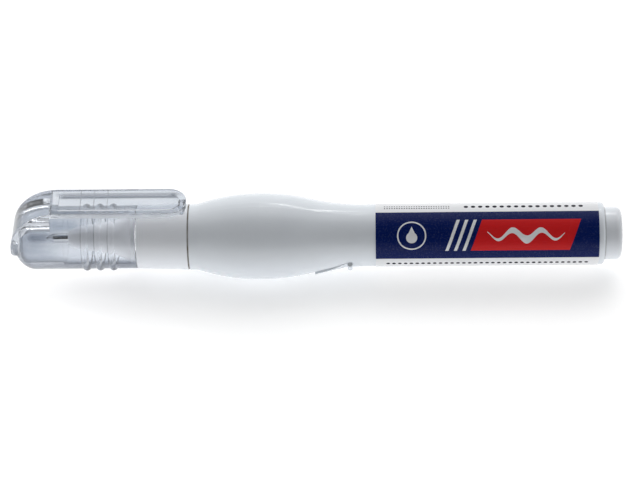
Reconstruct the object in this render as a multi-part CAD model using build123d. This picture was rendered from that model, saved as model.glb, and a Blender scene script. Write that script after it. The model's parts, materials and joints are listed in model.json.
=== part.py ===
from build123d import *
import math
import os

# Correction pen lying along X, point towards minus X, clip up, lowest point at zero height.
# All lengths are millimetres and all angles degrees.

# Squeeze barrel
BARREL_LENGTH = 93.0
BARREL_RADIUS = 6.98
BARREL_WALL = 1.0
BARREL_END_ROUND = 0.8
NECK_RADIUS = 7.4
NECK_WALL = 1.1
NECK_LAND = 0.9
SEAM_ROUND = 0.22
BULB_RADIUS = 9.72
BULB_WALL = 0.9
BULB_FROM_SEAM = 16.0
BULB_REAR_LENGTH = 23.0
FRONT_LAND_SHARE = 0.12
REAR_BULB_SHARE = 0.5

# Raised arrow on the barrel and the short rib across its base
ARROW_TURN = 140.0
ARROW_LENGTH = 7.4
ARROW_HALF_WIDTH = 3.7
ARROW_RISE = 0.5
ARROW_FROM_BULB = 12.2
RIB_LENGTH = 1.05
RIB_RISE = 0.78
RIB_ROUND = 0.35
MARK_ROOT = 0.5

# Printed wrap
LABEL_THICKNESS = 0.09
LABEL_FROM_BULB_END = 2.9
LABEL_END_MARGIN = 1.4
LABEL_SLIT = 0.4
LABEL_SLIT_TURN = 231.0

# Plug in the rear end
PLUG_SHOWING = 3.9
PLUG_DEPTH = 7.0
PLUG_WALL = 1.1
PLUG_FACE = 1.3
PLUG_ROUND = 1.4
PLUG_RIM_ROUND = 0.35
PLUG_FLOOR_ROUND = 1.0
PLUG_SIDE_GAP = 0.07
PLUG_BEADS = 2
PLUG_BEAD_LENGTH = 0.9
PLUG_BEAD_FROM_END = 1.2
PLUG_BEAD_PITCH = 2.6

# Nose moulding: nozzle, flare, cap seat, collar and tail
NOSE_LENGTH = 15.7
NOSE_FRONT_RADIUS = 1.3
NOZZLE_DOME_LENGTH = 2.25
NOZZLE_RADIUS = 2.55
FLARE_RADIUS = 3.75
FLARE_LENGTH = 4.6
SEAT_LENGTH = 1.35
COLLAR_LENGTH = 11.6
COLLAR_ROUND = 0.15
TAIL_LENGTH = 5.2
TAIL_END_GAP = 0.3
TAIL_WALL = 1.15
TAIL_END_ROUND = 0.3
THROAT_FROM_MOUTH = 2.0
THROAT_ROUND = 1.2

# Valve in the nose
SOCKET_RADIUS = 1.02
SOCKET_DEPTH = 6.2
CHAMBER_RADIUS = 2.1
TIP_REACH = 4.55
TIP_CONE_LENGTH = 1.25
TIP_SHOULDER_ROUND = 0.5
TIP_FRONT_RADIUS = 0.45
TIP_EDGE_ROUND = 0.1
TIP_BORE_RADIUS = 0.6
TIP_END_GAP = 0.1
ORIFICE_RADIUS = 0.32
ORIFICE_LENGTH = 0.8
SEAT_CONE_LENGTH = 0.5
NEEDLE_PROUD = 0.4
NEEDLE_POINT_ROUND = 0.14
NEEDLE_SIDE_GAP = 0.04
NEEDLE_BODY_GAP = 0.12
NEEDLE_SEAT_GAP = 0.04
NEEDLE_HOLD = 2.4
NEEDLE_END_GAP = 0.05
PLUNGER_FRONT_GAP = 0.2
PLUNGER_FLANGE = 1.5
PLUNGER_FLOW_GAP = 0.3
PLUNGER_STEM = 2.4
PLUNGER_ROUND = 0.2
SPRING_WIRE_RADIUS = 0.14
SPRING_OUTER_GAP = 0.25
SPRING_STEM_GAP = 0.12
SPRING_END_GAP = 0.06
SPRING_HALF_TURNS = 13
RETAINER_LENGTH = 2.2
RETAINER_HOLE_RADIUS = 0.6
RETAINER_FLUTES = 4
RETAINER_FLUTE_RADIUS = 0.42

# Mixing ball
BALL_RADIUS = 2.5
BALL_WALL_GAP = 0.1
BALL_FROM_SEAM = 62.0

# Clear cap
CAP_RADIUS = 7.03
CAP_WALL = 1.0
CAP_FIT_GAP = 0.06
CAP_FRONT_WALL = 2.1
TIP_ROOM = 5.65
CAP_STEP = 0.45
CAP_STEP_FROM_NOSE = 0.65
CAVITY_ROUND = 2.3
MOUTH_LEAD = 0.3
DOME_LENGTH = 5.4
DOME_SETBACK = 0.1
RING_COUNT = 3
RING_PITCH = 3.0
RING_WIDTH = 1.65
RING_RISE = 0.45
RING_FROM_MOUTH = 5.5

# Clip on the cap
CLIP_WIDTH = 8.9
CLIP_GAP = 2.27
CLIP_THICKNESS = 1.2
CLIP_EDGE_ROUND = 0.3
CLIP_END_SETBACK = 0.25
CLIP_END_ROUND = 4.1
CLIP_RIM = 1.6
CLIP_RECESS = 0.7
CLIP_RECESS_SETBACK = 0.75
CLIP_ROOT_DROP = 1.5
CLIP_ROOT_ROUND = 0.9
SLOT_ROOT_SETBACK = 1.2
SLOT_ROOT_ROUND = 0.6
NIB_LENGTH = 1.5
NIB_WIDTH = 2.4
NIB_FROM_END = 0.35
NIB_GAP = 0.12
NIB_ROUND = 0.7

# Fits and cutting allowance
PRESS_GAP = 0.02
OVERRUN = 5.0
FACE_TOLERANCE_SHARE = 0.00001

# Lengths and radii that follow from the above
barrel_bore = BARREL_RADIUS - BARREL_WALL
neck_bore = NECK_RADIUS - NECK_WALL
bulb_bore = BULB_RADIUS - BULB_WALL
cap_bore = CAP_RADIUS - CAP_WALL
seat_radius = cap_bore - CAP_FIT_GAP
tail_radius = neck_bore - PRESS_GAP
throat_radius = tail_radius - TAIL_WALL
tip_radius = SOCKET_RADIUS - PRESS_GAP
clip_height = CAP_RADIUS + CLIP_GAP + CLIP_THICKNESS
clip_under = CAP_RADIUS + CLIP_GAP
cap_length = NOSE_LENGTH + TIP_REACH + NEEDLE_PROUD + TIP_ROOM + CAP_FRONT_WALL
overall_length = cap_length + COLLAR_LENGTH + BARREL_LENGTH + PLUG_SHOWING

# Places along the pen
x_front = -overall_length / 2
x_mouth = x_front + cap_length
x_seam = x_mouth + COLLAR_LENGTH
x_bulb = x_seam + BULB_FROM_SEAM
x_straight = x_bulb + BULB_REAR_LENGTH
x_barrel_end = x_seam + BARREL_LENGTH
x_rear = x_barrel_end + PLUG_SHOWING
x_tail = x_seam + TAIL_LENGTH
x_nose = x_mouth - NOSE_LENGTH
x_tip = x_nose - TIP_REACH
x_chamber = x_nose + SOCKET_DEPTH
x_throat = x_mouth + THROAT_FROM_MOUTH
x_retainer = x_throat - RETAINER_LENGTH
x_plunger = x_chamber + PLUNGER_FRONT_GAP
x_spring = x_plunger + PLUNGER_FLANGE
x_seat = x_tip + ORIFICE_LENGTH
x_cavity = x_front + CAP_FRONT_WALL
x_clip_root = x_front + clip_height
x_clip_end = x_seam - CLIP_END_SETBACK
axis_height = BULB_RADIUS

pen_axis = Axis((0, 0, axis_height), (1, 0, 0))
pen_plane = Plane(origin=(0, 0, axis_height), x_dir=(1, 0, 0), z_dir=(0, -1, 0))


def corner(point, before, after, radius):
    """Start, middle and end of the arc that rounds a corner between two neighbours."""
    here = Vector(*point)
    back = (Vector(*before) - here).normalized()
    on = (Vector(*after) - here).normalized()
    half = math.acos(max(-1, min(1, back.dot(on)))) / 2
    reach = radius / math.tan(half)
    inward = (back + on).normalized()
    middle = here + inward * (radius / math.sin(half) - radius)
    return here + back * reach, middle, here + on * reach


def outline(*corners):
    """Closed face through corners given as (along, out) or (along, out, rounding)."""
    edges = []
    places = [(c[0], c[1]) for c in corners]
    rounds = [c[2] if len(c) > 2 else 0 for c in corners]
    starts, ends = [], []
    for i, place in enumerate(places):
        if rounds[i]:
            after = places[(i + 1) % len(places)]
            start, middle, end = corner(place, places[i - 1], after, rounds[i])
            edges.append(ThreePointArc(start, middle, end))
        else:
            start = end = Vector(*place)
        starts.append(start)
        ends.append(end)
    for i, end in enumerate(ends):
        edges.append(Line(end, starts[(i + 1) % len(starts)]))
    return make_face(edges)


def turned(face):
    """Solid of revolution about the pen's axis from a face drawn as (along, out)."""
    return revolve(pen_plane * face, pen_axis)


def turned_rod(start, end, radius):
    """Plain round rod on the pen's axis."""
    return turned(outline((start, 0), (end, 0), (end, radius), (start, radius)))


def fair(start, end, share):
    """Two arcs that blend between parallel stretches, the first with its share of the bend."""
    along, out = end[0] - start[0], end[1] - start[1]
    bend = math.atan2(abs(out), abs(along))
    total = abs(along) / math.sin(2 * bend)
    dip = math.copysign(1 - math.cos(bend), out)
    run = math.copysign(math.sin(bend), along)
    meet = (start[0] + along * share, start[1] + out * share)
    first, last = total * share, total * (1 - share)
    near = (start[0] + first * run, start[1] + first * dip)
    far = (end[0] - last * run, end[1] - last * dip)
    return [ThreePointArc(start, near, meet), ThreePointArc(meet, far, end)]


def edge_round(start, point, end, radius):
    """Arc that rounds one right-angled corner of a longer outline."""
    first, middle, last = corner(point, start, end, radius)
    return ThreePointArc(first, middle, last)


def barrel_shell():
    """Blow-moulded body with its bulb, open at both ends."""
    x_land = x_seam + NECK_LAND
    x_step = x_tail + TAIL_END_GAP
    lip, rim = (x_seam, NECK_RADIUS), (x_barrel_end, BARREL_RADIUS)
    lip_arc = edge_round((x_seam, 0), lip, (x_land, NECK_RADIUS), SEAM_ROUND)
    rim_arc = edge_round((x_straight, BARREL_RADIUS), rim, (x_barrel_end, 0), BARREL_END_ROUND)
    edges = [
        Line((x_seam, neck_bore), lip_arc @ 0),
        lip_arc,
        Line(lip_arc @ 1, (x_land, NECK_RADIUS)),
        *fair((x_land, NECK_RADIUS), (x_bulb, BULB_RADIUS), FRONT_LAND_SHARE),
        *fair((x_bulb, BULB_RADIUS), (x_straight, BARREL_RADIUS), REAR_BULB_SHARE),
        Line((x_straight, BARREL_RADIUS), rim_arc @ 0),
        rim_arc,
        Line(rim_arc @ 1, (x_barrel_end, barrel_bore)),
        Line((x_barrel_end, barrel_bore), (x_straight, barrel_bore)),
        *fair((x_straight, barrel_bore), (x_bulb, bulb_bore), 1 - REAR_BULB_SHARE),
        *fair((x_bulb, bulb_bore), (x_step, neck_bore), REAR_BULB_SHARE),
        Line((x_step, neck_bore), (x_seam, neck_bore)),
    ]
    return turned(make_face(edges))


def barrel_radius_at(x):
    """Outer radius on the rear slope of the bulb, between its middle and the straight."""
    drop = BULB_RADIUS - BARREL_RADIUS
    bend = math.atan2(drop, BULB_REAR_LENGTH)
    total = BULB_REAR_LENGTH / math.sin(2 * bend)
    first, last = total * REAR_BULB_SHARE, total * (1 - REAR_BULB_SHARE)
    along = x - x_bulb
    if along < BULB_REAR_LENGTH * REAR_BULB_SHARE:
        return BULB_RADIUS - first + math.sqrt(first**2 - along**2)
    left = max(x_straight - x, 0)
    return BARREL_RADIUS + last - math.sqrt(last**2 - left**2)


def squeeze_arrow():
    """Arrow pad bridging the rear slope of the bulb, with a short rib across its base."""
    x_point = x_bulb + ARROW_FROM_BULB
    x_base = x_point + ARROW_LENGTH
    x_end = x_base + RIB_LENGTH
    point_out = barrel_radius_at(x_point)
    base_out = barrel_radius_at(x_base)
    pad = outline(
        (x_point, point_out - MARK_ROOT),
        (x_end, base_out - MARK_ROOT),
        (x_end, base_out),
        (x_base, base_out),
        (x_point, point_out + ARROW_RISE),
    )
    rib = outline(
        (x_base, base_out - MARK_ROOT),
        (x_end, base_out - MARK_ROOT),
        (x_end, base_out + RIB_RISE, RIB_ROUND),
        (x_base, base_out + RIB_RISE, RIB_ROUND),
    )
    plan = make_face(
        Polyline(
            (x_point, 0),
            (x_base, -ARROW_HALF_WIDTH),
            (x_end, -ARROW_HALF_WIDTH),
            (x_end, ARROW_HALF_WIDTH),
            (x_base, ARROW_HALF_WIDTH),
            close=True,
        )
    )
    column = extrude(Pos(0, 0, axis_height) * plan, BULB_RADIUS + RIB_RISE)
    mark = (turned(pad) + turned(rib)) & column
    return mark.rotate(pen_axis, ARROW_TURN)


def barrel():
    return barrel_shell() + squeeze_arrow()


def label():
    """Printed film round the straight part, its two ends not quite meeting at the back."""
    start, end = x_straight + LABEL_FROM_BULB_END, x_barrel_end - LABEL_END_MARGIN
    outside = BARREL_RADIUS + LABEL_THICKNESS
    wrap = turned(
        outline((start, BARREL_RADIUS), (end, BARREL_RADIUS), (end, outside), (start, outside))
    )
    gap = Pos(0, 0, axis_height) * Rectangle(overall_length, LABEL_SLIT)
    return wrap - extrude(gap, outside + OVERRUN).rotate(pen_axis, LABEL_SLIT_TURN)


def end_plug():
    """Cup pressed into the rear of the barrel, with two sealing beads."""
    outside = barrel_bore - PLUG_SIDE_GAP
    x_in = x_barrel_end - PLUG_DEPTH
    cup = turned(
        outline(
            (x_rear, 0),
            (x_rear, outside, PLUG_ROUND),
            (x_in, outside, PLUG_RIM_ROUND),
            (x_in, outside - PLUG_WALL, PLUG_RIM_ROUND),
            (x_rear - PLUG_FACE, outside - PLUG_WALL, PLUG_FLOOR_ROUND),
            (x_rear - PLUG_FACE, 0),
        )
    )
    for i in range(PLUG_BEADS):
        middle = x_in + PLUG_BEAD_FROM_END + i * PLUG_BEAD_PITCH
        arc = ThreePointArc(
            (middle - PLUG_BEAD_LENGTH / 2, outside),
            (middle, barrel_bore - PRESS_GAP),
            (middle + PLUG_BEAD_LENGTH / 2, outside),
        )
        inside = outside - PLUG_WALL / 2
        chord = Polyline(arc @ 1, ((arc @ 1).X, inside), ((arc @ 0).X, inside), arc @ 0)
        cup += turned(make_face([arc, *chord.edges()]))
    return cup


def nozzle():
    """Slender front of the nose: domed end, long taper and a flare up to the cap seat."""
    x_seat_front = x_mouth - SEAT_LENGTH
    front, rear = (x_nose, NOSE_FRONT_RADIUS), (x_seat_front, seat_radius)
    slim = (x_nose + NOZZLE_DOME_LENGTH, NOZZLE_RADIUS)
    wide = (x_seat_front - FLARE_LENGTH, FLARE_RADIUS)
    taper = Line(slim, wide)
    edges = [
        TangentArc(slim, front, tangent=-(taper % 0)),
        taper,
        TangentArc(wide, rear, tangent=taper % 1),
        *Polyline(rear, (x_seat_front, 0), (x_nose, 0), front).edges(),
    ]
    return turned(make_face(edges))


def nose():
    """White front moulding: nozzle with the valve chamber, cap seat, collar and tail."""
    x_seat_front = x_mouth - SEAT_LENGTH
    body = turned(
        outline(
            (x_seat_front, 0),
            (x_seat_front, seat_radius),
            (x_mouth, seat_radius),
            (x_mouth, CAP_RADIUS, COLLAR_ROUND),
            (x_seam, NECK_RADIUS, SEAM_ROUND),
            (x_seam, tail_radius),
            (x_tail, tail_radius, TAIL_END_ROUND),
            (x_tail, 0),
        )
    )
    throat = turned(
        outline(
            (x_throat, 0),
            (x_throat, throat_radius, THROAT_ROUND),
            (x_tail + OVERRUN, throat_radius),
            (x_tail + OVERRUN, 0),
        )
    )
    socket = turned_rod(x_nose - OVERRUN, x_chamber + OVERRUN, SOCKET_RADIUS)
    chamber = turned_rod(x_chamber, x_throat + OVERRUN, CHAMBER_RADIUS)
    return nozzle() + body - throat - socket - chamber


def metal_tip():
    """Turned metal point with a fine orifice and the valve seat inside it."""
    x_shank = x_chamber - TIP_END_GAP
    return turned(
        outline(
            (x_tip, ORIFICE_RADIUS),
            (x_tip, TIP_FRONT_RADIUS, TIP_EDGE_ROUND),
            (x_tip + TIP_CONE_LENGTH, tip_radius, TIP_SHOULDER_ROUND),
            (x_shank, tip_radius),
            (x_shank, TIP_BORE_RADIUS),
            (x_seat + SEAT_CONE_LENGTH, TIP_BORE_RADIUS),
            (x_seat, ORIFICE_RADIUS),
        )
    )


def valve_needle():
    """Steel pin that closes the orifice from behind and stands proud of the point."""
    point = ORIFICE_RADIUS - NEEDLE_SIDE_GAP
    body = TIP_BORE_RADIUS - NEEDLE_BODY_GAP
    x_point = x_tip - NEEDLE_PROUD
    x_shoulder = x_seat + NEEDLE_SEAT_GAP
    x_body = x_shoulder + SEAT_CONE_LENGTH
    x_end = x_plunger + NEEDLE_HOLD
    return turned(
        outline(
            (x_point, 0),
            (x_point, point, NEEDLE_POINT_ROUND),
            (x_shoulder, point),
            (x_body, body),
            (x_end, body),
            (x_end, 0),
        )
    )


def valve_plunger():
    """Small moulded plunger on the rear of the needle: flange for the spring and a stem."""
    flange = CHAMBER_RADIUS - PLUNGER_FLOW_GAP
    stem = spring_radius() - SPRING_WIRE_RADIUS - SPRING_STEM_GAP
    body = TIP_BORE_RADIUS - NEEDLE_BODY_GAP
    solid = turned(
        outline(
            (x_plunger, 0),
            (x_plunger, flange, PLUNGER_ROUND),
            (x_spring, flange, PLUNGER_ROUND),
            (x_spring, stem),
            (x_spring + PLUNGER_STEM, stem, PLUNGER_ROUND),
            (x_spring + PLUNGER_STEM, 0),
        )
    )
    x_hole = x_plunger + NEEDLE_HOLD + NEEDLE_END_GAP
    return solid - turned_rod(x_plunger - OVERRUN, x_hole, body + PRESS_GAP)


def spring_radius():
    """Mean radius of the coil inside the chamber."""
    return CHAMBER_RADIUS - PLUNGER_FLOW_GAP - SPRING_OUTER_GAP - SPRING_WIRE_RADIUS


def helix_place(turn, radius, start, rise):
    """Point and direction on the coil after a number of half turns."""
    angle = math.pi * turn
    side, up = radius * math.sin(angle), radius * math.cos(angle)
    point = Vector(start + rise * turn, side, axis_height + up)
    return point, Vector(rise / math.pi, up, -side).normalized()


def valve_spring():
    """Wire coil between the plunger's flange and the retainer, two arcs to each half turn."""
    start = x_spring + SPRING_END_GAP + SPRING_WIRE_RADIUS
    end = x_retainer - SPRING_END_GAP - SPRING_WIRE_RADIUS
    rise = (end - start) / SPRING_HALF_TURNS
    radius = spring_radius()
    arcs = []
    for i in range(SPRING_HALF_TURNS):
        here, go = helix_place(i, radius, start, rise)
        there, come = helix_place(i + 1, radius, start, rise)
        span, both = there - here, go + come
        spread = 2 * (1 - go.dot(come))
        ahead = span.dot(both)
        reach = (math.sqrt(ahead**2 + spread * span.dot(span)) - ahead) / spread
        meet = ((here + go * reach) + (there - come * reach)) * 0.5
        first = TangentArc(here, meet, tangent=go)
        arcs += [first, TangentArc(meet, there, tangent=first % 1)]
    path = Wire([arc.edge() for arc in arcs])
    return sweep(Plane(origin=path @ 0, z_dir=path % 0) * Circle(SPRING_WIRE_RADIUS), path)


def spring_retainer():
    """Ring pressed into the chamber behind the spring, fluted so that fluid passes."""
    radius = CHAMBER_RADIUS - PRESS_GAP
    ring = turned(
        outline(
            (x_retainer, RETAINER_HOLE_RADIUS),
            (x_throat, RETAINER_HOLE_RADIUS),
            (x_throat, radius),
            (x_retainer, radius),
        )
    )
    for i in range(RETAINER_FLUTES):
        flute = Cylinder(RETAINER_FLUTE_RADIUS, RETAINER_LENGTH + OVERRUN, rotation=(0, 90, 0))
        flute = Pos((x_retainer + x_throat) / 2, 0, axis_height + radius) * flute
        ring -= flute.rotate(pen_axis, 360 / RETAINER_FLUTES * i)
    return ring


def mixing_ball():
    """Steel ball lying on the inside of the straight barrel."""
    drop = barrel_bore - BALL_RADIUS - BALL_WALL_GAP
    return Pos(x_seam + BALL_FROM_SEAM, 0, axis_height - drop) * Sphere(BALL_RADIUS)


def cap_outside():
    """Solid outer form of the cap: domed front, plain wall and three ring ribs."""
    x_dome = x_front + DOME_SETBACK
    x_wall = x_dome + DOME_LENGTH
    dome = EllipticalCenterArc((x_wall, 0), DOME_LENGTH, CAP_RADIUS, start_angle=90, arc_size=90)
    edges = [dome]
    last = (x_wall, CAP_RADIUS)
    for i in range(RING_COUNT):
        middle = x_mouth - RING_FROM_MOUTH - (RING_COUNT - 1 - i) * RING_PITCH
        start = (middle - RING_WIDTH / 2, CAP_RADIUS)
        end = (middle + RING_WIDTH / 2, CAP_RADIUS)
        edges.append(Line(last, start))
        edges.append(ThreePointArc(start, (middle, CAP_RADIUS + RING_RISE), end))
        last = end
    edges += Polyline(last, (x_mouth, CAP_RADIUS), (x_mouth, 0), (x_dome, 0)).edges()
    return turned(make_face(edges))


def cap_cavity():
    """Room inside the cap, a little wider over the cap seat than round the point."""
    deep = cap_bore - CAP_STEP
    x_step = x_nose - CAP_STEP_FROM_NOSE
    return turned(
        outline(
            (x_cavity, 0),
            (x_cavity, deep, CAVITY_ROUND),
            (x_step, deep),
            (x_step, cap_bore),
            (x_mouth - MOUTH_LEAD, cap_bore),
            (x_mouth, cap_bore + MOUTH_LEAD),
            (x_mouth + OVERRUN, cap_bore + MOUTH_LEAD),
            (x_mouth + OVERRUN, 0),
        )
    )


def clip_side():
    """Side view of the strap and of the root that joins it to the cap's front."""
    x_slot = x_clip_root - SLOT_ROOT_SETBACK
    bend = CenterArc((x_clip_root, 0), clip_height, 90, 90)
    low = -CLIP_ROOT_DROP
    toe = edge_round((x_slot, low), (x_front, low), (x_front, 0), CLIP_ROOT_ROUND)
    slot = edge_round((x_clip_end, clip_under), (x_slot, clip_under), (x_slot, 0), SLOT_ROOT_ROUND)
    top, under = (x_clip_end, clip_height), (x_clip_end, clip_under)
    back = Polyline((x_clip_root, clip_height), top, under, slot @ 0)
    root = Polyline(slot @ 1, (x_slot, low), toe @ 0)
    return make_face([bend, *back.edges(), slot, *root.edges(), toe, Line(toe @ 1, bend @ 1)])


def on_clip_face(point):
    """Whether a point lies on the strap's outer face, on the bend or on the flat."""
    along, out = point.X - x_clip_root, point.Z - axis_height
    reach = out if along > 0 else math.hypot(along, out)
    return math.isclose(reach, clip_height, rel_tol=FACE_TOLERANCE_SHARE)


def clip():
    """Strap that rises off the cap's front, bends over it and runs back as a clip."""
    half = CLIP_WIDTH / 2
    strap = extrude(pen_plane * clip_side(), half, both=True)
    plan = outline(
        (x_front - OVERRUN, -half),
        (x_clip_end, -half, CLIP_END_ROUND),
        (x_clip_end, half, CLIP_END_ROUND),
        (x_front - OVERRUN, half),
    )
    strap &= extrude(plan, axis_height + clip_height + OVERRUN)
    rims = []
    for edge in strap.edges():
        on_face = all(on_clip_face(edge @ share) for share in (0, 0.5, 1))
        across = math.isclose((edge @ 0).X, x_clip_root) and math.isclose((edge @ 1).X, x_clip_root)
        if on_face and not across and (edge @ 0.5).Z > axis_height:
            rims.append(edge)
    return fillet(rims, CLIP_EDGE_ROUND)


def clip_recess():
    """Shallow tray sunk in the clip's outer face, rounded at its rear end."""
    half = CLIP_WIDTH / 2 - CLIP_RIM
    x_start = x_clip_root + CLIP_RECESS_SETBACK
    x_end = x_clip_end - CLIP_RIM
    plan = outline(
        (x_start, -half),
        (x_end, -half, CLIP_END_ROUND - CLIP_RIM),
        (x_end, half, CLIP_END_ROUND - CLIP_RIM),
        (x_start, half),
    )
    floor = axis_height + clip_height - CLIP_RECESS
    return extrude(Pos(0, 0, floor) * plan, CLIP_RECESS + OVERRUN)


def clip_nib():
    """Rounded nib under the clip's end that holds a pocket edge."""
    x_end = x_clip_end - NIB_FROM_END
    low = NECK_RADIUS + NIB_GAP
    face = outline(
        (x_end - NIB_LENGTH, clip_under + CLIP_THICKNESS / 2),
        (x_end - NIB_LENGTH, low, NIB_ROUND),
        (x_end, low, NIB_ROUND),
        (x_end, clip_under + CLIP_THICKNESS / 2),
    )
    return extrude(pen_plane * face, NIB_WIDTH / 2, both=True)


def cap():
    return cap_outside() + clip() + clip_nib() - clip_recess() - cap_cavity()


pieces = {
    "barrel": barrel,
    "label": label,
    "end_plug": end_plug,
    "nose": nose,
    "metal_tip": metal_tip,
    "valve_needle": valve_needle,
    "valve_plunger": valve_plunger,
    "valve_spring": valve_spring,
    "spring_retainer": spring_retainer,
    "mixing_ball": mixing_ball,
    "cap": cap,
}

os.makedirs("parts", exist_ok=True)
for name, make in pieces.items():
    export_step(make(), f"parts/{name}.step")
print("overall length", round(overall_length, 2), "clip end", round(x_clip_end, 2))
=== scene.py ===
"""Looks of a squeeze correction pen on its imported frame: finishes, print, studio and camera."""

import json
import logging
import math
from dataclasses import dataclass, field
from enum import Enum
from functools import reduce
from typing import Any, Dict, List, Optional, Sequence, Tuple, Union

import bmesh
import bpy
from mathutils import Matrix, Vector


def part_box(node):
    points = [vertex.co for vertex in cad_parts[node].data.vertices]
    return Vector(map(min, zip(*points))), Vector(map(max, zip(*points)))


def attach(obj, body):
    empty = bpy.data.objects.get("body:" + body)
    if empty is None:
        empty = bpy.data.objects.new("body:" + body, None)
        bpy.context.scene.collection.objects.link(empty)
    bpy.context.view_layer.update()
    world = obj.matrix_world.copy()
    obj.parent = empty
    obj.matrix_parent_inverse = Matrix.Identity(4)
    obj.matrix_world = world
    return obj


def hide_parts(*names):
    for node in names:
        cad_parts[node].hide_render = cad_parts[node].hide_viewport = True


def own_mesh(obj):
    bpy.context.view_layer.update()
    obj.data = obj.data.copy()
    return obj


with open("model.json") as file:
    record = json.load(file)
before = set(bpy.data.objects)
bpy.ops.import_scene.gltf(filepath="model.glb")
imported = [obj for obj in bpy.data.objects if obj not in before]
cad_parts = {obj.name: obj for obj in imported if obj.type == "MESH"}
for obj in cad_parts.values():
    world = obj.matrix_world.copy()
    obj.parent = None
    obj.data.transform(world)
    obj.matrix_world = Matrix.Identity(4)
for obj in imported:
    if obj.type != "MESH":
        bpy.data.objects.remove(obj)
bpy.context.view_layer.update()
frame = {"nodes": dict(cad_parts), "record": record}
log = logging.getLogger("correction_pen")

Colour = Tuple[float, float, float]
Number = Union[float, "Field"]
Entry = Union[float, Sequence[float], "Field"]
Settings = Dict[str, Any]
Sockets = Dict[Union[str, int], Entry]

# Units, and values that hold for every finish
MM = 0.001
DEGREES = 180.0 / math.pi
FULL_TURN = 360.0
NOISE_MEAN = 0.5
WHITE: Colour = (1.0, 1.0, 1.0)

# Places on the pen in millimetres, from the frame
grip = next(mount for mount in frame["record"]["mounts"] if mount["name"] == "barrel_grip")
AXIS_HEIGHT = grip["pos_m"][2] / MM
FILM_RADIUS = grip["dims"]["r_mm"]
FILM_START, FILM_END = (corner[0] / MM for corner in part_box("label"))
FILM_MIDDLE = (FILM_END - FILM_START) / 2
BARREL_FRONT, BARREL_REAR = (corner[0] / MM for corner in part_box("barrel"))
PEN_MIDDLE = Vector((0.0, 0.0, AXIS_HEIGHT * MM))

# Tray in the clip's top and edges of the cap's rings, in millimetres
TRAY_FLOOR = 9.8
TRAY_MIDDLE = -43.9
RING_FRONT = -52.38
RING_PITCH = 3.0
RING_COUNT = 3


class Ray(Enum):
    """Kinds of ray that a shader can tell apart."""

    CAMERA = "Is Camera Ray"
    GLOSSY = "Is Glossy Ray"
    TRANSMISSION = "Is Transmission Ray"
    DIFFUSE = "Is Diffuse Ray"
    SHADOW = "Is Shadow Ray"


class Field:
    """What one output of a node gives; one that is a number can be used in expressions."""

    def __init__(self, graph: "Graph", output: bpy.types.NodeSocket) -> None:
        """Wraps an output of a node in graph."""
        self.graph = graph
        self.output = output

    def __add__(self, other: Number) -> "Field":
        """Sum."""
        return self.graph.math("ADD", self, other)

    def __radd__(self, other: Number) -> "Field":
        """Sum with a plain number first."""
        return self.graph.math("ADD", other, self)

    def __sub__(self, other: Number) -> "Field":
        """Difference."""
        return self.graph.math("SUBTRACT", self, other)

    def __rsub__(self, other: Number) -> "Field":
        """Difference from a plain number."""
        return self.graph.math("SUBTRACT", other, self)

    def __mul__(self, other: Number) -> "Field":
        """Product."""
        return self.graph.math("MULTIPLY", self, other)

    def __rmul__(self, other: Number) -> "Field":
        """Product with a plain number first."""
        return self.graph.math("MULTIPLY", other, self)

    def __truediv__(self, other: Number) -> "Field":
        """Quotient."""
        return self.graph.math("DIVIDE", self, other)

    def __abs__(self) -> "Field":
        """Size without its sign."""
        return self.graph.math("ABSOLUTE", self)

    def clamp(self) -> "Field":
        """Kept between 0 and 1."""
        return self.graph.math("ADD", self, 0.0, clamped=True)

    def sin(self) -> "Field":
        """Sine of an angle in radians."""
        return self.graph.math("SINE", self)

    def wrap(self, period: float) -> "Field":
        """Remainder within a period, centred on zero."""
        return self.graph.math("WRAP", self, period / 2, -period / 2)

    def most(self, other: Number) -> "Field":
        """The larger of two."""
        return self.graph.math("MAXIMUM", self, other)

    def diagonal(self, other: "Field") -> "Field":
        """Length of the diagonal over two sides."""
        return self.graph.math("SQRT", self * self + other * other)

    def near(self, centre: float, half: Number, soft: float) -> "Field":
        """Mask of the stretch around a centre.

        Args:
            centre: middle of the stretch.
            half: half of its width.
            soft: width over which its edges fade.

        Returns:
            1 inside the stretch and 0 outside.
        """
        return ((half - abs(self - centre)) / soft + 0.5).clamp()

    def over(self, limit: float, soft: float) -> "Field":
        """Mask of where the number is over a limit, with an edge of the given softness."""
        return ((self - limit) / soft + 0.5).clamp()


@dataclass(frozen=True)
class Band:
    """A stretch of values with soft edges."""

    centre: float
    half: float
    soft: float

    def mask(self, value: Field) -> Field:
        """1 where a value is inside the stretch and 0 outside."""
        return value.near(self.centre, self.half, self.soft)


# Darker lines at the barrel's two ends, the rear one set back a hair onto the plug
REAR_SET_BACK = 0.05
FRONT_SEAM = Band(BARREL_FRONT, 0.17, 0.17)
REAR_SEAM = Band(BARREL_REAR + REAR_SET_BACK, 0.16, 0.16)


@dataclass(frozen=True)
class Rise:
    """A limit with a soft edge."""

    limit: float
    soft: float

    def mask(self, value: Field) -> Field:
        """1 where a value is over the limit and 0 below it."""
        return value.over(self.limit, self.soft)


@dataclass(frozen=True)
class Ramp:
    """A share that grows with a value between 0 and 1."""

    least: float
    growth: float

    def of(self, value: Field) -> Field:
        """The share for a value."""
        return self.least + self.growth * value


@dataclass(frozen=True)
class Contrast:
    """A share that a noise gives: where it starts and how fast it grows."""

    start: float
    gain: float

    def of(self, noise: Field) -> Field:
        """The share for a noise, not yet kept between 0 and 1."""
        return (noise - self.start) * self.gain


@dataclass(frozen=True)
class Grain:
    """A soft noise: size of its spots in millimetres, finer layers and stretch along the pen."""

    size: float
    detail: float = 2.0
    stretch: float = 1.0


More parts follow.
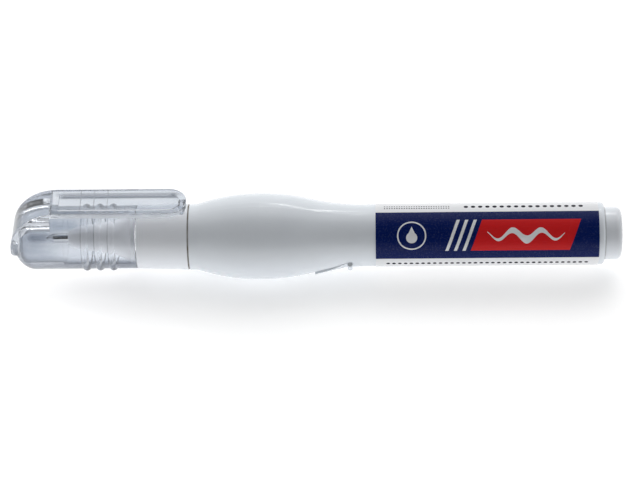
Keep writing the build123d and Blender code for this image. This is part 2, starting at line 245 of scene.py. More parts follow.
class Graph:
    """A node tree that is filled by expressions."""

    MIX_INPUTS = (0, 6, 7)
    MIX_OUTPUT = 2

    def __init__(self, tree: bpy.types.NodeTree) -> None:
        """Empties a tree and keeps it."""
        self.tree = tree
        tree.nodes.clear()

    def plug(self, socket: bpy.types.NodeSocket, value: Entry) -> None:
        """Links a field to an input, or sets the input to a number or colour.

        Args:
            socket: the input.
            value: what it gets.
        """
        if isinstance(value, Field):
            self.tree.links.new(value.output, socket)
        elif socket.type == "RGBA":
            socket.default_value = (*value, 1.0)
        else:
            socket.default_value = value

    def node(
        self,
        kind: str,
        settings: Optional[Settings] = None,
        sockets: Optional[Sockets] = None,
    ) -> bpy.types.Node:
        """Adds one node.

        Args:
            kind: the node's type.
            settings: its properties, set first.
            sockets: values or links for its inputs, by name or number.

        Returns:
            The new node.
        """
        made = self.tree.nodes.new(kind)
        for name, value in (settings or {}).items():
            setattr(made, name, value)
        for key, value in (sockets or {}).items():
            self.plug(made.inputs[key], value)
        return made

    def get(
        self,
        kind: str,
        output: Union[str, int] = 0,
        settings: Optional[Settings] = None,
        sockets: Optional[Sockets] = None,
    ) -> Field:
        """One output of a new node, as a field."""
        return Field(self, self.node(kind, settings, sockets).outputs[output])

    def math(self, operation: str, *values: Number, clamped: bool = False) -> Field:
        """A Math node on fields and numbers."""
        settings = {"operation": operation, "use_clamp": clamped}
        return self.get("ShaderNodeMath", 0, settings, dict(enumerate(values)))

    def mix(self, share: Number, first: Entry, second: Entry) -> Field:
        """Colour that goes from first to second as share goes from 0 to 1."""
        sockets = dict(zip(self.MIX_INPUTS, (share, first, second)))
        return self.get("ShaderNodeMix", self.MIX_OUTPUT, {"data_type": "RGBA"}, sockets)

    def principled(self, **inputs: Entry) -> Field:
        """A Principled shader, with its inputs named with _ for each space."""
        sockets = {name.replace("_", " "): value for name, value in inputs.items()}
        return self.get("ShaderNodeBsdfPrincipled", 0, None, sockets)

    def place(self) -> Field:
        """Place on the object, in metres of the shared frame."""
        return self.get("ShaderNodeTexCoord", "Object")

    def parts(self, place: Field) -> Tuple[Field, Field, Field]:
        """The three coordinates of a place, in millimetres from the pen's axis.

        Args:
            place: a place in metres.

        Returns:
            Along the pen, across it and up, as fields.
        """
        split = self.node("ShaderNodeSeparateXYZ", None, {0: place})
        along, across, up = (Field(self, out) / MM for out in split.outputs)
        return along, across, up - AXIS_HEIGHT

    def turn(self, across: Field, up: Field) -> Field:
        """Angle round the pen's axis in degrees, from the top towards the camera's side."""
        return self.math("ARCTAN2", across * -1.0, up) * DEGREES

    def rays(self, *kinds: Ray) -> Field:
        """Tells rays apart.

        Args:
            kinds: the kinds of ray that count.

        Returns:
            1 for those kinds and 0 for others.
        """
        path = self.node("ShaderNodeLightPath")
        return reduce(Field.most, (Field(self, path.outputs[kind.value]) for kind in kinds))

    def seen(self) -> Field:
        """1 for rays that show the background: straight, in gloss and through clear plastic."""
        return self.rays(Ray.CAMERA, Ray.GLOSSY, Ray.TRANSMISSION)

    def noise(self, place: Field, grain: Grain) -> Field:
        """Soft noise.

        Args:
            place: where it is read, in metres.
            grain: its size, detail and stretch.

        Returns:
            The noise, between 0 and 1.
        """
        scale = tuple(1.0 / (MM * grain.size * part) for part in (grain.stretch, 1.0, 1.0))
        mapped = self.get("ShaderNodeMapping", 0, None, {"Vector": place, "Scale": scale})
        sockets = {"Vector": mapped, "Scale": 1.0, "Detail": grain.detail}
        return self.get("ShaderNodeTexNoise", "Fac", None, sockets)

    def relief(self, height: Field, depth: float) -> Field:
        """Normal of a fine relief of heights from 0 to 1, over a depth in millimetres."""
        return self.get("ShaderNodeBump", 0, None, {"Height": height, "Distance": depth * MM})


@dataclass(frozen=True)
class Patches:
    """Spots where a noise is over a limit, such as scratches or smears."""

    grain: Grain
    edge: Rise

    def mask(self, graph: Graph, place: Field) -> Field:
        """1 in the spots and 0 between them."""
        return self.edge.mask(graph.noise(place, self.grain))


@dataclass(frozen=True)
class Finish:
    """What every finish has: a name and a way to make its material."""

    name: str

    def material(self) -> bpy.types.Material:
        """Makes the material of this finish.

        Returns:
            The material.
        """
        made = bpy.data.materials.new(self.name)
        made.use_nodes = True
        graph = Graph(made.node_tree)
        graph.node("ShaderNodeOutputMaterial", None, {"Surface": self.shade(graph)})
        return made

    def shade(self, graph: Graph) -> Field:
        """Makes the surface in a tree; each finish has its own."""
        raise NotImplementedError


@dataclass(frozen=True)
class MouldedPlastic(Finish):
    """Opaque moulded plastic with a faint skin texture, scuffs and darker lines at its joints."""

    colour: Colour = (0.8, 0.8, 0.8)
    mottled: Colour = (0.74, 0.74, 0.74)
    roughness: float = 0.3
    clouds: Grain = Grain(9.0, 3.0)
    cloud_share: Contrast = Contrast(0.3, 1.6)
    cloud_gloss: float = 0.08
    peel: Grain = Grain(0.5)
    peel_depth: float = 0.006
    scratches: Patches = Patches(Grain(0.35, 2.0, 26.0), Rise(0.66, 0.06))
    rubbing: Patches = Patches(Grain(14.0, 1.0), Rise(0.52, 0.2))
    rubbed_depth: float = 0.5
    rubbed_gloss: float = 0.12
    dirt: Colour = (0.16, 0.13, 0.1)
    dirt_grain: Grain = Grain(1.6)
    dirt_share: Ramp = Ramp(0.55, 0.6)
    dirty_places: Tuple[Band, ...] = ()
    parting_angle: Optional[float] = None
    parting: Band = Band(0.0, 0.09, 0.1)
    parting_height: float = 1.6
    index: float = 1.49
    shine: float = 0.4

    def shade(self, graph: Graph) -> Field:
        """Makes the surface with cloudy colour, scuffed gloss and a fine skin.

        Args:
            graph: the tree.

        Returns:
            The surface.
        """
        place = graph.place()
        along, across, up = graph.parts(place)
        cloud = graph.noise(place, self.clouds)
        rubbed = self.scratches.mask(graph, place) * self.rubbing.mask(graph, place)
        colour = graph.mix(self.cloud_share.of(cloud), self.colour, self.mottled)
        for joint in self.dirty_places:
            spread = self.dirt_share.of(graph.noise(place, self.dirt_grain))
            colour = graph.mix((joint.mask(along) * spread).clamp(), colour, self.dirt)
        height = graph.noise(place, self.peel) - rubbed * self.rubbed_depth
        if self.parting_angle is not None:
            side = across * math.cos(self.parting_angle) + up * math.sin(self.parting_angle)
            height = height + self.parting.mask(side) * self.parting_height
        clouded = self.roughness + (cloud - NOISE_MEAN) * self.cloud_gloss
        return graph.principled(
            Base_Color=colour,
            Roughness=clouded + rubbed * self.rubbed_gloss,
            Normal=graph.relief(height, self.peel_depth),
            IOR=self.index,
            Specular_IOR_Level=self.shine,
        )


@dataclass(frozen=True)
class TurnedMetal(Finish):
    """Bright metal with fine rings left by turning, or fine lines of drawing."""

    colour: Colour = (0.76, 0.76, 0.75)
    roughness: float = 0.1
    edge: Colour = WHITE
    ring_pitch: float = 0.07
    ring_depth: float = 0.0012
    waver: Grain = Grain(0.4, 1.0)
    waver_turn: float = 3.0
    tarnish: Grain = Grain(1.2, 3.0)
    tarnish_share: Contrast = Contrast(0.35, 1.4)
    tarnish_gloss: float = 0.08
    dulling: float = 0.86

    def shade(self, graph: Graph) -> Field:
        """Makes the surface with turning rings and slight tarnish.

        Args:
            graph: the tree.

        Returns:
            The surface.
        """
        place = graph.place()
        along, _, _ = graph.parts(place)
        tarnish = graph.noise(place, self.tarnish)
        waver = graph.noise(place, self.waver) * self.waver_turn
        rings = (along * (math.tau / self.ring_pitch) + waver).sin() * 0.5 + 0.5
        dull = tuple(part * self.dulling for part in self.colour)
        return graph.principled(
            Base_Color=graph.mix(self.tarnish_share.of(tarnish), self.colour, dull),
            Metallic=1.0,
            Roughness=self.roughness + (tarnish - NOISE_MEAN) * self.tarnish_gloss,
            Normal=graph.relief(rings, self.ring_depth),
            Specular_Tint=self.edge,
        )


@dataclass(frozen=True)
class CapSpot:
    """What the cap's tints depend on: place, angle round the tube, slant to the eye and flow."""

    along: Field
    across: Field
    up: Field
    turn: Field
    tube: Field
    grazing: Field
    flow: Field


@dataclass(frozen=True)
class ClearPlastic(Finish):
    """Clear moulded plastic with a cool tint, faint flow lines, smears, hairline scratches, and
    painted light and shade.
    """

    tint: Colour = (0.735, 0.762, 0.805)
    deep: Colour = (0.53, 0.572, 0.632)
    strap_tint: Colour = (0.58, 0.622, 0.68)
    # Painted light: a lighter tint over the nozzle and at the mouth
    painted_light_tint: Colour = (0.94, 0.95, 0.965)
    # Painted shade: a dark tint before the point, along the low edge and in the dome
    painted_shade_tint: Colour = (0.3, 0.33, 0.39)
    # Painted shade: a dark tint in the tray's corners
    corner_shade_tint: Colour = (0.1, 0.115, 0.14)
    # Painted shade: a dark tint on rims that turn away from the eye
    rim_shade_tint: Colour = (0.12, 0.14, 0.17)
    # Partly dirt, partly painted shade: fine dark lines round the tray and beside the rings
    line_shade_and_grime: Colour = (0.3, 0.32, 0.36)
    shade_colour: Colour = (0.985, 0.985, 0.99)
    roughness: float = 0.008
    clearness: float = 0.985
    index: float = 1.5
    flow: Grain = Grain(2.2, 2.0, 5.0)
    flow_share: Contrast = Contrast(0.3, 2.2)
    smears: Patches = Patches(Grain(4.0, 3.0), Rise(0.55, 0.25))
    smear_gloss: float = 0.02
    scratches: Patches = Patches(Grain(0.3, 2.0, 20.0), Rise(0.68, 0.05))
    scratch_gloss: float = 0.08
    scratch_depth: float = 0.12
    waves: Grain = Grain(2.6, 1.0)
    wave_depth: float = 0.007
    facing_blend: float = 0.5
    tube_top: Rise = Rise(7.4, 0.6)
    strap_bottom: Rise = Rise(8.6, 0.8)
    strap_front: Rise = Rise(-58.5, 3.0)
    strap_share: Ramp = Ramp(0.5, 0.5)
    # Where the painted light lies
    window_turn: Band = Band(66.0, 30.0, 12.0)
    window_front: Rise = Rise(-58.8, 5.0)
    window_share: float = 0.75
    mouth_turn: Band = Band(36.0, 62.0, 16.0)
    mouth_front: Rise = Rise(-51.0, 6.0)
    mouth_share: float = 0.95
    # Where the painted shade lies: before the point, along the low edge and in the dome
    tip_turn: Band = Band(50.0, 7.0, 8.0)
    tip_reach: Band = Band(-61.9, 2.2, 1.7)
    tip_share: Ramp = Ramp(0.6, 0.3)
    low_turn: Band = Band(122.0, 19.0, 6.0)
    low_slant: Rise = Rise(0.18, 0.16)
    low_share: Ramp = Ramp(0.7, 0.3)
    dome_end: Rise = Rise(-63.8, 2.5)
    dome_share: float = 0.25
    # Where the painted shade in the tray's corners lies
    far_corner: Band = Band(2.4, 0.5, 0.4)
    far_share: float = 0.95
    near_corner: Band = Band(-2.5, 0.3, 0.4)
    near_share: float = 0.25
    corner_bottom: Rise = Rise(TRAY_FLOOR - 0.4, 0.3)
    corner_reach: Band = Band(TRAY_MIDDLE, 13.4, 2.0)
    # Where the painted shade on rims lies
    tube_rim: Rise = Rise(0.5, 0.34)
    tube_rim_share: float = 0.94
    clip_rim: Rise = Rise(0.62, 0.4)
    clip_rim_share: float = 0.7
    # Where the fine dark lines lie, partly dirt and partly painted shade
    tray_line: Band = Band(2.85, 0.12, 0.1)
    tray_bottom: Rise = Rise(TRAY_FLOOR - 0.1, 0.1)
    tray_reach: Band = Band(TRAY_MIDDLE, 11.2, 1.5)
    ring_edges: Tuple[Band, ...] = tuple(
        Band(RING_FRONT + RING_PITCH * count, 0.1, 0.06) for count in range(RING_COUNT)
    )
    shade_and_dirt_line_share: Ramp = Ramp(0.55, 0.4)

    def shade(self, graph: Graph) -> Field:
        """Makes the surface with its tints, painted light and shade, smears and scratches.

        Args:
            graph: the tree.

        Returns:
            The surface, which lets through the light that falls on other surfaces.
        """
        place = graph.place()
        smear = self.smears.mask(graph, place)
        scratch = self.scratches.mask(graph, place)
        spot = self.spot(graph, place)
        colour = graph.mix(spot.flow, self.tint, self.deep)
        # Past the flow lines, the tints are painted light and shade: lighter over the nozzle and
        # mouth, darker before the point, on the low edge, in the dome, in the tray's corners and
        # on rims, and fine dark lines that are partly dirt.
        for share, tint in (
            (self.strap(spot), self.strap_tint),
            (self.painted_light_windows(spot), self.painted_light_tint),
            (self.painted_shade_streaks(spot), self.painted_shade_tint),
            (self.corners(spot), self.corner_shade_tint),
            (self.rims(spot), self.rim_shade_tint),
            ((self.lines(spot) * self.shade_and_dirt_line_share.of(smear)).clamp(), self.line_shade_and_grime),
        ):
            colour = graph.mix(share, colour, tint)
        height = graph.noise(place, self.waves) - scratch * self.scratch_depth
        smeared = self.roughness + smear * self.smear_gloss
        clear = graph.principled(
            Base_Color=colour,
            Roughness=smeared + scratch * self.scratch_gloss,
            Normal=graph.relief(height, self.wave_depth),
            Transmission_Weight=self.clearness,
            IOR=self.index,
        )
        through = graph.get("ShaderNodeBsdfTransparent", 0, None, {"Color": self.shade_colour})
        passing = graph.rays(Ray.SHADOW, Ray.DIFFUSE)
        return graph.get("ShaderNodeMixShader", 0, None, {0: passing, 1: clear, 2: through})

    def spot(self, graph: Graph, place: Field) -> CapSpot:
        """Reads what the tints depend on.

        Args:
            graph: the tree.
            place: a place on the cap, in metres.

        Returns:
            The fields for that place.
        """
        along, across, up = graph.parts(place)
        blend = {"Blend": self.facing_blend}
        return CapSpot(
            along=along,
            across=across,
            up=up,
            turn=graph.turn(across, up),
            tube=1.0 - self.tube_top.mask(up),
            grazing=graph.get("ShaderNodeLayerWeight", "Facing", None, blend),
            flow=self.flow_share.of(graph.noise(place, self.flow)).clamp(),
        )

    def strap(self, spot: CapSpot) -> Field:
        """Share of the clip's own tint."""
        strap = self.strap_bottom.mask(spot.up) * self.strap_front.mask(spot.along)
        return strap * self.strap_share.of(spot.flow)

    def painted_light_windows(self, spot: CapSpot) -> Field:
        """Share of painted light: places painted lighter over the nozzle and at the mouth.

        Args:
            spot: what is known of the place.

        Returns:
            The share.
        """
        window = self.window_turn.mask(spot.turn) * self.window_front.mask(spot.along)
        mouth = self.mouth_front.mask(spot.along) * self.mouth_turn.mask(spot.turn) * spot.tube
        return (window * self.window_share).most(mouth * self.mouth_share)

    def painted_shade_streaks(self, spot: CapSpot) -> Field:
        """Share of painted shade: places painted darker before the point, along the low edge and
        in the dome.

        Args:
            spot: what is known of the place.

        Returns:
            The share.
        """
        tip = self.tip_turn.mask(spot.turn) * self.tip_reach.mask(spot.along)
        low = self.low_turn.mask(spot.turn) * self.low_slant.mask(spot.grazing)
        dome = (1.0 - self.dome_end.mask(spot.along)) * self.dome_share
        painted_shade_streaks = (tip * self.tip_share.of(spot.flow)).most(low * self.low_share.of(spot.flow))
        return painted_shade_streaks.most(dome)

    def corners(self, spot: CapSpot) -> Field:
        """Share of painted shade: dark lines painted in the corners of the tray.

        Args:
            spot: what is known of the place.

        Returns:
            The share.
        """
        far = self.far_corner.mask(spot.across) * self.far_share
        near = self.near_corner.mask(spot.across) * self.near_share
        reach = self.corner_bottom.mask(spot.up) * self.corner_reach.mask(spot.along)
        return far.most(near) * reach

    def rims(self, spot: CapSpot) -> Field:
        """Share of painted shade: dark rims painted where the surface turns away from the eye."""
        tube = self.tube_rim.mask(spot.grazing) * spot.tube * self.tube_rim_share
        return tube.most(self.clip_rim.mask(spot.grazing) * self.clip_rim_share)

    def lines(self, spot: CapSpot) -> Field:
        """Share of fine dark lines round the tray and beside the rings, partly dirt and partly
        painted shade.

        Args:
            spot: what is known of the place.

        Returns:
            The share.
        """
        tray = self.tray_line.mask(abs(spot.across)) * self.tray_bottom.mask(spot.up)
        tray = tray * self.tray_reach.mask(spot.along)
        return reduce(Field.most, (edge.mask(spot.along) for edge in self.ring_edges), tray)


class Motif:
    """A printed shape on the film."""

    def mask(self, run: Field, drop: Field, edge: float) -> Field:
        """Draws the shape; each kind has its own.

        Args:
            run: distance from the front edge of the film, in millimetres.
            drop: distance round the film from the middle of the panel, in millimetres.
            edge: softness of the print's edges, in millimetres.

        Returns:
            1 inside the shape and 0 outside.
        """
        raise NotImplementedError


@dataclass(frozen=True)
class DotRow(Motif):
    """A row of dots: its place round the film, dot size, pitch and stretch."""

    level: float
    size: float
    pitch: float
    middle: float
    half: float

    def mask(self, run: Field, drop: Field, edge: float) -> Field:
        """Draws the row.

        Args:
            run: distance from the front edge of the film, in millimetres.
            drop: distance round the film from the middle of the panel, in millimetres.
            edge: softness of the print's edges, in millimetres.

        Returns:
            1 inside the dots and 0 outside.
        """
        along = (run - self.middle).wrap(self.pitch)
        dots = along.diagonal(drop - self.level).near(0.0, self.size, edge)
        return dots * run.near(self.middle, self.half, edge)


@dataclass(frozen=True)
class SlantedField(Motif):
    """A block whose ends lean."""

    middle: float
    half: float
    tall: float
    lean: float

    def mask(self, run: Field, drop: Field, edge: float) -> Field:
        """Draws the block; its arguments and result are those of Motif."""
        ends = self.leaning(run, drop).near(self.middle, self.half, edge)
        return ends * drop.near(0.0, self.tall, edge)

    def leaning(self, run: Field, drop: Field) -> Field:
        """Distance along the film, measured on the lean."""
        return run + drop * self.lean


@dataclass(frozen=True)
class SlantedBars(SlantedField):
    """A row of leaning bars."""

    pitch: float
    bar_half: float

    def mask(self, run: Field, drop: Field, edge: float) -> Field:
        """Draws the bars; its arguments and result are those of Motif."""
        bars = self.leaning(run, drop).wrap(self.pitch).near(0.0, self.bar_half, edge)
        return bars * super().mask(run, drop, edge)


@dataclass(frozen=True)
class WavyStroke(Motif):
    """A wavy stroke that thins towards its ends."""

    middle: float
    half: float
    reach: float
    wave_length: float
    wave_height: float
    thick: float

    def mask(self, run: Field, drop: Field, edge: float) -> Field:
        """Draws the stroke.

        Args:
            run: distance from the front edge of the film, in millimetres.
            drop: distance round the film from the middle of the panel, in millimetres.
            edge: softness of the print's edges, in millimetres.

        Returns:
            1 inside the stroke and 0 outside.
        """
        wave = (run * (math.tau / self.wave_length)).sin() * self.wave_height
        swell = (1.0 - abs(run - self.middle) / self.reach).clamp()
        stroke = abs(drop - wave).near(0.0, swell * self.thick, edge)
        return stroke * run.near(self.middle, self.half, edge)


@dataclass(frozen=True)
class DropInRing(Motif):
    """A drop with a round foot and a pointed top, inside a ring."""

    middle: float
    ring: float
    ring_half: float
    foot: float
    foot_drop: float
    point: float
    slope: float
    taper: Band

    def mask(self, run: Field, drop: Field, edge: float) -> Field:
        """Draws the drop and its ring.

        Args:
            run: distance from the front edge of the film, in millimetres.
            drop: distance round the film from the middle of the panel, in millimetres.
            edge: softness of the print's edges, in millimetres.

        Returns:
            1 inside the drop or its ring and 0 outside.
        """
        side = run - self.middle
        ring = side.diagonal(drop).near(self.ring, self.ring_half, edge)
        foot = side.diagonal(drop - self.foot_drop).near(0.0, self.foot, edge)
        top = abs(side).near(0.0, (drop + self.point) * self.slope, edge) * self.taper.mask(drop)
        return ring.most(foot).most(top)


@dataclass(frozen=True)
class PrintedFilm(Finish):
    """Glossy white film with a printed navy panel, a red slanted field and plain motifs."""

    panel_turn: float = 51.5
    panel_half: float = 47.0
    edge: float = 0.05
    white: Colour = (0.8, 0.81, 0.83)
    aged: Colour = (0.72, 0.73, 0.76)
    navy: Colour = (0.002, 0.011, 0.1)
    red: Colour = (0.68, 0.018, 0.02)
    black: Colour = (0.02, 0.02, 0.03)
    clouds: Grain = Grain(7.0, 3.0)
    cloud_share: Contrast = Contrast(0.3, 0.25)
    cloud_gloss: float = 0.06
    ink: Grain = Grain(0.35)
    navy_share: Ramp = Ramp(0.94, 0.12)
    red_share: Ramp = Ramp(0.92, 0.14)
    scratches: Patches = Patches(Grain(0.3, 2.0, 22.0), Rise(0.67, 0.05))
    scratch_gloss: float = 0.15
    scratch_depth: float = 0.3
    roughness: float = 0.22
    panel_gloss: float = 0.05
    panel_height: float = 0.3
    ink_height: float = 0.25
    relief_depth: float = 0.01
    index: float = 1.4
    shine: float = 0.14
    red_motifs: Tuple[Motif, ...] = (SlantedField(33.4, 11.0, tall=3.6, lean=0.36),)
    white_motifs: Tuple[Motif, ...] = (
        SlantedBars(18.9, 2.85, tall=3.6, lean=0.36, pitch=1.9, bar_half=0.36),
        WavyStroke(33.4, 8.6, reach=9.4, wave_length=6.4, wave_height=1.05, thick=0.95),
        DropInRing(
            8.0,
            ring=3.1,
            ring_half=0.16,
            foot=1.25,
            foot_drop=0.45,
            point=2.1,
            slope=0.46,
            taper=Band(-1.0, 1.1, 0.05),
        ),
    )
    black_motifs: Tuple[Motif, ...] = (
        DotRow(7.75, 0.42, 1.3, FILM_MIDDLE, 22.9),
        DotRow(-15.0, 0.42, 1.3, FILM_MIDDLE, 22.9),
        DotRow(-7.7, 0.5, 1.6, middle=33.0, half=13.6),
        *(DotRow(level, 0.17, 0.55, middle=9.2, half=7.4) for level in (-7.2, -8.0)),
        *(DotRow(level, 0.2, 0.7, FILM_MIDDLE, 19.0) for level in (15.0, 16.4, 17.8)),
    )

    def shade(self, graph: Graph) -> Field:
        """Makes the surface with the print, ink gloss and film texture.

        Args:
            graph: the tree.

        Returns:
            The surface.
        """
        place = graph.place()
        along, across, up = graph.parts(place)
        run = along - FILM_START
        turned = (graph.turn(across, up) - self.panel_turn).wrap(FULL_TURN)
        drop = turned * (FILM_RADIUS / DEGREES)
        ink = graph.noise(place, self.ink)
        cloud = graph.noise(place, self.clouds)
        scratch = self.scratches.mask(graph, place)
        panel = drop.near(0.0, math.radians(self.panel_half) * FILM_RADIUS, self.edge)
        navy = panel * self.navy_share.of(ink).clamp()
        red = panel * self.printed(self.red_motifs, run, drop) * self.red_share.of(ink).clamp()
        colour = graph.mix(self.cloud_share.of(cloud), self.white, self.aged)
        for share, tint in (
            (self.printed(self.black_motifs, run, drop), self.black),
            (navy, self.navy),
            (red, self.red),
            (panel * self.printed(self.white_motifs, run, drop), self.white),
        ):
            colour = graph.mix(share, colour, tint)
        height = panel * self.panel_height + ink * self.ink_height - scratch * self.scratch_depth
        inked = self.roughness + panel * self.panel_gloss
        clouded = inked + (cloud - NOISE_MEAN) * self.cloud_gloss
        return graph.principled(
            Base_Color=colour,
            Roughness=clouded + scratch * self.scratch_gloss,
            Normal=graph.relief(height, self.relief_depth),
            IOR=self.index,
            Specular_IOR_Level=self.shine,
        )

    def printed(self, motifs: Sequence[Motif], run: Field, drop: Field) -> Field:
        """Mask of several motifs together, for distances along and round the film."""
        return reduce(Field.most, (motif.mask(run, drop, self.edge) for motif in motifs))


def add_object(name: str, data: bpy.types.ID) -> bpy.types.Object:
    """Makes an object and links it into the scene.

    Args:
        name: the object's name.
        data: its mesh, lamp or camera.

    Returns:
        The object.
    """
    made = bpy.data.objects.new(name, data)
    bpy.context.scene.collection.objects.link(made)
    return made


def wear(piece: bpy.types.Object, material: bpy.types.Material) -> None:
    """Puts one material on every slot of an object.

    Args:
        piece: the object.
        material: what it wears.
    """
    if not piece.material_slots:
        piece.data.materials.append(material)
    for slot in piece.material_slots:
        slot.material = material


@dataclass
class SubAssembly:
    """A group of nodes with the finish that each one wears."""

    finishes: Dict[str, Finish] = field(default_factory=dict)
    made: Dict[str, bpy.types.Object] = field(default_factory=dict)

    def build(self) -> None:
        """Makes new meshes; a group that keeps its nodes makes none."""

    def dress(self) -> None:
        """Puts each finish on its node, or on the piece that stands for it."""
        for node, finish in self.finishes.items():
            wear(self.made.get(node, frame["nodes"][node]), finish.material())
            log.info("%s wears %s", node, finish.name)


@dataclass
class SqueezeBody(SubAssembly):
    """Barrel with its bulb, the printed film and the rear plug, and the ball inside."""

    parting_angle: float = math.radians(8.0)

    def __post_init__(self) -> None:
        """Chooses the finishes."""
        self.finishes = {
            "barrel": MouldedPlastic(
                "barrel_skin",
                (0.785, 0.828, 0.875),
                (0.745, 0.787, 0.84),
                roughness=0.11,
                dirty_places=(FRONT_SEAM,),
                parting_angle=self.parting_angle,
            ),
            "label": PrintedFilm("printed_film"),
            "end_plug": MouldedPlastic(
                "plug_gloss",
                (0.77, 0.802, 0.845),
                (0.74, 0.77, 0.815),
                roughness=0.11,
                peel_depth=0.002,
                # A grey line darkens the plug at its joint with the barrel
                dirt=(0.4, 0.4, 0.41),
                dirty_places=(REAR_SEAM,),
            ),
            "mixing_ball": TurnedMetal("ball_ground", (0.6, 0.6, 0.6), 0.12),
        }


@dataclass
class PointAndValve(SubAssembly):
    """Nose moulding, metal point and the sprung valve inside it."""

    needle_travel: float = 0.4
    weld_distance: float = 0.001

    def __post_init__(self) -> None:
        """Chooses the finishes."""
        self.finishes = {
            "nose": MouldedPlastic(
                "nose_skin",
                (0.845, 0.875, 0.922),
                (0.815, 0.845, 0.892),
                roughness=0.16,
                dirty_places=(FRONT_SEAM,),
            ),
            "metal_tip": TurnedMetal(
                "tip_turned", (0.96, 0.96, 0.955), 0.04, edge=(0.15, 0.15, 0.17)
            ),
            "valve_needle": TurnedMetal("needle_ground", (0.66, 0.66, 0.66), 0.18),
            "valve_spring": TurnedMetal("spring_wire", (0.58, 0.58, 0.58), 0.22),
            "valve_plunger": self.valve_plastic("plunger_plastic"),
            "spring_retainer": self.valve_plastic("retainer_plastic"),
        }

    @staticmethod
    def valve_plastic(name: str) -> MouldedPlastic:
        """Matt plastic of the small mouldings in the valve."""
        return MouldedPlastic(name, (0.68, 0.68, 0.64), (0.62, 0.62, 0.58), 0.4)

    def build(self) -> None:
        """Makes the coil: a welded copy of the spring's mesh that takes the spring's place."""
        low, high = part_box("valve_spring")
        mesh = frame["nodes"]["valve_spring"].data.copy()
        mesh.name = "valve_coil"
        shape = bmesh.new()
        shape.from_mesh(mesh)
        bmesh.ops.remove_doubles(shape, verts=shape.verts, dist=self.weld_distance * MM)
        shape.to_mesh(mesh)
        shape.free()
        coil = add_object("valve_coil", mesh)
        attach(coil, "pen")
        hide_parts("valve_spring")
        seat = (high[0], 0.0, AXIS_HEIGHT * MM)
        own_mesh(coil)
        self.made["valve_spring"] = coil


@dataclass
class ClearCap(SubAssembly):
    """Clear cap with its rings and clip."""

    def __post_init__(self) -> None:
        """Chooses the finishes."""
        self.finishes = {"cap": ClearPlastic("cap_plastic")}


def toward(azimuth: float, elevation: float) -> Vector:
    """Direction from the pen to a place round it.

    Args:
        azimuth: angle round the upright in degrees, 0 in front.
        elevation: angle above the floor in degrees.

    Returns:
        The direction, of length 1.
    """
    turn, rise = math.radians(azimuth), math.radians(elevation)
    level = math.cos(rise)
    return Vector((level * math.sin(turn), -level * math.cos(turn), math.sin(rise)))


@dataclass
class Lamp:
    """A soft rectangular lamp that faces the pen."""

    name: str
    azimuth: float
    elevation: float
    distance: float
    width: float
    height: float
    power: float

    def hang(self) -> None:
        """Puts the lamp in its place, facing the pen."""
        data = bpy.data.lights.new(self.name, "AREA")
        data.shape = "RECTANGLE"
        data.size, data.size_y = self.width, self.height
        data.energy = self.power
        lamp = add_object(self.name, data)
        way = toward(self.azimuth, self.elevation)
        turned = way.to_track_quat("Z", "Y").to_matrix().to_4x4()
        lamp.matrix_world = Matrix.Translation(PEN_MIDDLE + way * self.distance) @ turned
        lamp.visible_camera = False
        log.info("lamp %s hung", self.name)


@dataclass(frozen=True)
class PaleFloor(Finish):
    """Matt floor that looks evenly pale, and gives back more light in front of the pen."""

    colour: Colour = (0.7, 0.7, 0.7)
    glow: float = 0.535
    front_bounce: float = 1.0
    back_bounce: float = 0.12
    bounce_edge: Rise = Rise(0.0, 40.0)

    def shade(self, graph: Graph) -> Field:
        """Makes the surface with a plain glow for the rays that look at it.

        Args:
            graph: the tree.

        Returns:
            The surface.
        """
        _, across, _ = graph.parts(graph.place())
        behind = self.bounce_edge.mask(across)
        bounce = self.front_bounce + behind * (self.back_bounce - self.front_bounce)
        strength = bounce + graph.seen() * (self.glow - bounce)
        matt = graph.get("ShaderNodeBsdfDiffuse", 0, None, {"Color": self.colour})
        glow = graph.get("ShaderNodeEmission", 0, None, {"Strength": strength})
        return graph.get("ShaderNodeAddShader", 0, None, {0: matt, 1: glow})


@dataclass(frozen=True)
class Sky:
    """Plain sky: pale where it is seen but for a dim patch in front, and light from behind."""

    light: float = 3.6
    light_rise: float = 52.0
    light_focus: float = 6.0
    pale_low: float = 0.94
    pale_high: float = 0.98
    pale_rise: Rise = Rise(0.35, 0.6)
    dim: float = 0.04
    dim_rise: float = 50.0
    dim_edge: Rise = Rise(0.7, 0.14)

    def paint(self) -> None:
        """Fills the tree of the scene's world."""
        scene = bpy.context.scene
        scene.world = scene.world or bpy.data.worlds.new("sky")
        scene.world.use_nodes = True
        graph = Graph(scene.world.node_tree)
        way = graph.get("ShaderNodeTexCoord", "Generated")
        split = graph.node("ShaderNodeSeparateXYZ", None, {0: way})
        _, back, up = (Field(graph, out) for out in split.outputs)
        rise, dim = math.radians(self.light_rise), math.radians(self.dim_rise)
        facing = back * math.cos(rise) + up * math.sin(rise)
        light = graph.math("POWER", facing.clamp(), self.light_focus) * self.light
        dark = self.dim_edge.mask(up * math.sin(dim) - back * math.cos(dim))
        pale = self.pale_low + self.pale_rise.mask(up) * (self.pale_high - self.pale_low)
        pale = pale + dark * (self.dim - pale)
        strength = light + graph.seen() * (pale - light)
        sky = graph.get("ShaderNodeBackground", 0, None, {"Color": WHITE, "Strength": strength})
        graph.node("ShaderNodeOutputWorld", None, {"Surface": sky})


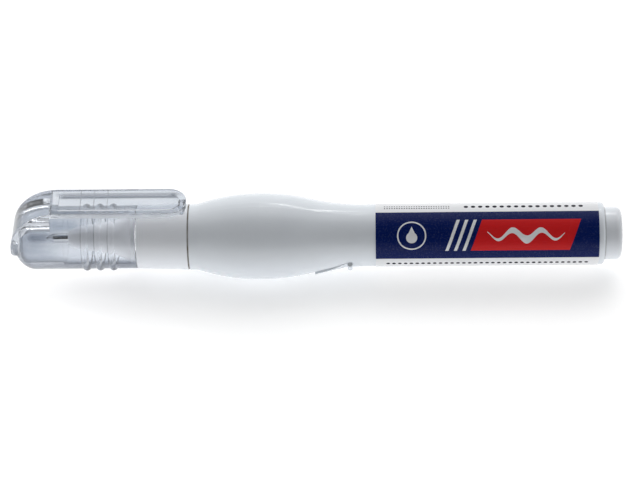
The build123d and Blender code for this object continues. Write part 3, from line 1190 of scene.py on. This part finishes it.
@dataclass
class View:
    """The camera, at the photograph's angle."""

    azimuth: float = 1.688
    elevation: float = 40.327
    roll: float = -1.588
    distance: float = 0.62
    lens: float = 155.05
    sensor: float = 36.0
    shift_right: float = 0.925 * MM
    shift_up: float = -0.974 * MM

    def set_up(self) -> None:
        """Puts the camera in its place."""
        turn, roll = math.radians(self.azimuth), math.radians(self.roll)
        back = toward(self.azimuth, self.elevation)
        level = Vector((math.cos(turn), math.sin(turn), 0.0))
        upright = back.cross(level)
        right = level * math.cos(roll) + upright * math.sin(roll)
        upward = upright * math.cos(roll) - level * math.sin(roll)
        target = PEN_MIDDLE + right * self.shift_right + upward * self.shift_up
        data = bpy.data.cameras.new("camera")
        data.lens, data.sensor_width = self.lens, self.sensor
        camera = add_object("camera", data)
        turned = Matrix((right, upward, back)).transposed().to_4x4()
        camera.matrix_world = Matrix.Translation(target + back * self.distance) @ turned
        bpy.context.scene.camera = camera
        log.info("camera set")


@dataclass
class Studio:
    """Pale floor, plain sky, a soft lamp and the camera."""

    floor_size: float = 12.0
    floor_cells: int = 8
    floor_drop: float = 0.02
    floor: PaleFloor = PaleFloor("floor_pale")
    sky: Sky = Sky()
    view: View = field(default_factory=View)
    lamps: List[Lamp] = field(
        default_factory=lambda: [Lamp("back_strip", 150.0, 47.5, 0.8, 0.8, 0.03, 0.9)]
    )
    bounces: int = 24
    glossy_bounces: int = 16

    def build(self) -> None:
        """Sets the whole studio up."""
        self.lay_floor()
        self.sky.paint()
        for lamp in self.lamps:
            lamp.hang()
        self.view.set_up()
        scene = bpy.context.scene
        scene.view_settings.view_transform = "Standard"
        scene.cycles.max_bounces = self.bounces
        scene.cycles.transmission_bounces = self.bounces
        scene.cycles.glossy_bounces = self.glossy_bounces

    def lay_floor(self) -> None:
        """Makes the floor, a hair under the pen."""
        mesh = bpy.data.meshes.new("floor")
        shape = bmesh.new()
        cells = self.floor_cells
        bmesh.ops.create_grid(shape, x_segments=cells, y_segments=cells, size=self.floor_size / 2)
        bmesh.ops.translate(shape, verts=shape.verts, vec=(0.0, 0.0, -self.floor_drop * MM))
        shape.to_mesh(mesh)
        shape.free()
        floor = add_object("floor", mesh)
        wear(floor, self.floor.material())
        log.info("floor laid")


def main() -> None:
    """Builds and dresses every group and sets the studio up."""
    logging.basicConfig(level=logging.INFO, format="%(name)s: %(message)s")
    for group in (SqueezeBody(), PointAndValve(), ClearCap()):
        group.build()
        group.dress()
    Studio().build()


if __name__ == "__main__":
    main()
